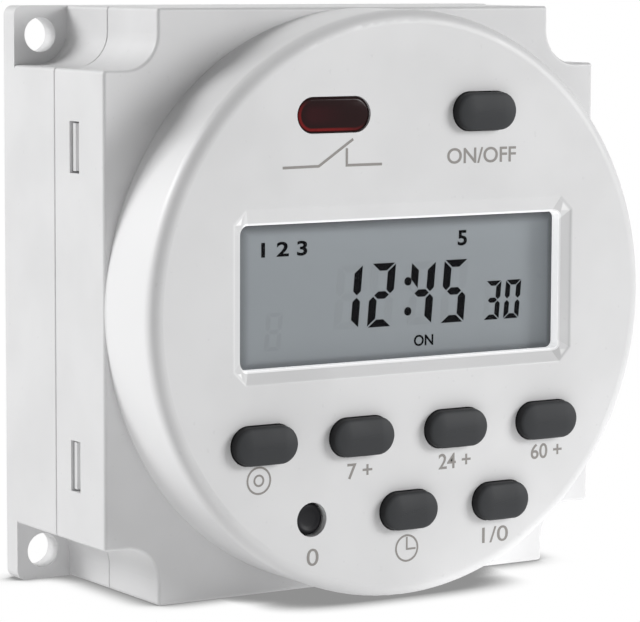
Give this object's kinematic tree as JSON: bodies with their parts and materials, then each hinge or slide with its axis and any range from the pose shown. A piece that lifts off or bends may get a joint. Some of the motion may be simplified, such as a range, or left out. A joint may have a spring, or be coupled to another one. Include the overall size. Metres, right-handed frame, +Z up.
{
  "type": "digital timer relay",
  "caption": "Square panel timer with a round dial, a segment display, oval keys, a red indicator lens, corner mounting ears and blade terminals at the rear.",
  "frame": {"origin": "centre of the pattern of mounting holes, on the rear plane of the ears", "axes": "-Y out of the dial towards the person, +X to the right of the display, +Z up"},
  "size_m": [0.06, 0.04, 0.06],
  "materials": {
    "case": "satin white",
    "key": "matte dark grey",
    "reset_key": "matte, near black",
    "red_lens": "glossy, dark red, tinted through",
    "lamp": "clear red epoxy",
    "window": "clear, polished",
    "lcd": "grey display glass behind a polariser",
    "lcd_frame": "unpainted moulding",
    "contact_strip": "layered silicone",
    "mat": "matte silicone",
    "carbon": "carbon filled",
    "board": "green solder mask",
    "screw": "zinc plated",
    "epoxy": "poured black epoxy",
    "crystal": "plated can",
    "cell": "plated steel",
    "tab": "nickel strip",
    "pin": "plated brass",
    "black_moulding": "matte black",
    "relay_cover": "matte blue",
    "coil": "enamelled copper wire",
    "iron": "zinc plated iron",
    "contact": "spring brass",
    "film": "yellow box",
    "can": "shrink sleeve over aluminium",
    "varistor": "dipped blue",
    "resistor": "lacquered",
    "blade": "tinned brass"
  },
  "bodies": {
    "timer": {"front_case": "case", "rear_case": "case", "lcd_window": "window", "lcd_panel": "lcd", "lcd_frame": "lcd_frame", "contact_strips": "contact_strip", "led_lens": "red_lens", "indicator_led": "lamp", "keypad_mat": "mat", "control_board": "board", "control_board_screws": "screw", "timer_chip": "epoxy", "clock_crystal": "crystal", "backup_cell": "cell", "cell_tabs": "tab", "link_pins": "pin", "link_spacer": "black_moulding", "power_board": "board", "power_board_screws": "screw", "relay_base": "black_moulding", "relay_cover": "relay_cover", "relay_yoke": "iron", "relay_coil": "coil", "relay_contacts": "contact", "film_capacitor": "film", "smoothing_capacitor": "can", "varistor": "varistor", "resistors": "resistor", "diodes": "black_moulding", "transistor": "black_moulding", "terminal_1": "blade", "terminal_2": "blade", "terminal_3": "blade", "terminal_4": "blade", "terminal_5": "blade"},
    "on_off_button": {"on_off_key": "key", "on_off_contact": "carbon"},
    "program_button": {"program_key": "key", "program_contact": "carbon"},
    "day_button": {"day_key": "key", "day_contact": "carbon"},
    "hour_button": {"hour_key": "key", "hour_contact": "carbon"},
    "minute_button": {"minute_key": "key", "minute_contact": "carbon"},
    "clock_button": {"clock_key": "key", "clock_contact": "carbon"},
    "recall_button": {"recall_key": "key", "recall_contact": "carbon"},
    "reset_button": {"reset_key": "reset_key", "reset_contact": "carbon"},
    "armature": {"relay_armature": "iron"}
  },
  "joints": [
    {"name": "on_off_press", "type": "slide", "parent": "timer", "child": "on_off_button", "axis": [0, 1, 0], "range_m": [0, 0.0008], "stiffness_N_per_m": 1000, "springref_m": -0.0006},
    {"name": "program_press", "type": "slide", "parent": "timer", "child": "program_button", "axis": [0, 1, 0], "range_m": [0, 0.0008], "stiffness_N_per_m": 1000, "springref_m": -0.0006},
    {"name": "day_press", "type": "slide", "parent": "timer", "child": "day_button", "axis": [0, 1, 0], "range_m": [0, 0.0008], "stiffness_N_per_m": 1000, "springref_m": -0.0006},
    {"name": "hour_press", "type": "slide", "parent": "timer", "child": "hour_button", "axis": [0, 1, 0], "range_m": [0, 0.0008], "stiffness_N_per_m": 1000, "springref_m": -0.0006},
    {"name": "minute_press", "type": "slide", "parent": "timer", "child": "minute_button", "axis": [0, 1, 0], "range_m": [0, 0.0008], "stiffness_N_per_m": 1000, "springref_m": -0.0006},
    {"name": "clock_press", "type": "slide", "parent": "timer", "child": "clock_button", "axis": [0, 1, 0], "range_m": [0, 0.0008], "stiffness_N_per_m": 1000, "springref_m": -0.0006},
    {"name": "recall_press", "type": "slide", "parent": "timer", "child": "recall_button", "axis": [0, 1, 0], "range_m": [0, 0.0008], "stiffness_N_per_m": 1000, "springref_m": -0.0006},
    {"name": "reset_press", "type": "slide", "parent": "timer", "child": "reset_button", "axis": [0, 1, 0], "range_m": [0, 0.0008], "stiffness_N_per_m": 1000, "springref_m": -0.0006},
    {"name": "armature_hinge", "type": "hinge", "parent": "timer", "child": "armature", "pos_m": [-0.018, -0.01657, -0.0045], "axis": [0, 0, 1], "range_deg": [0, 2], "stiffness_Nm_per_rad": 0.05, "springref_deg": -3.44}
  ]
}
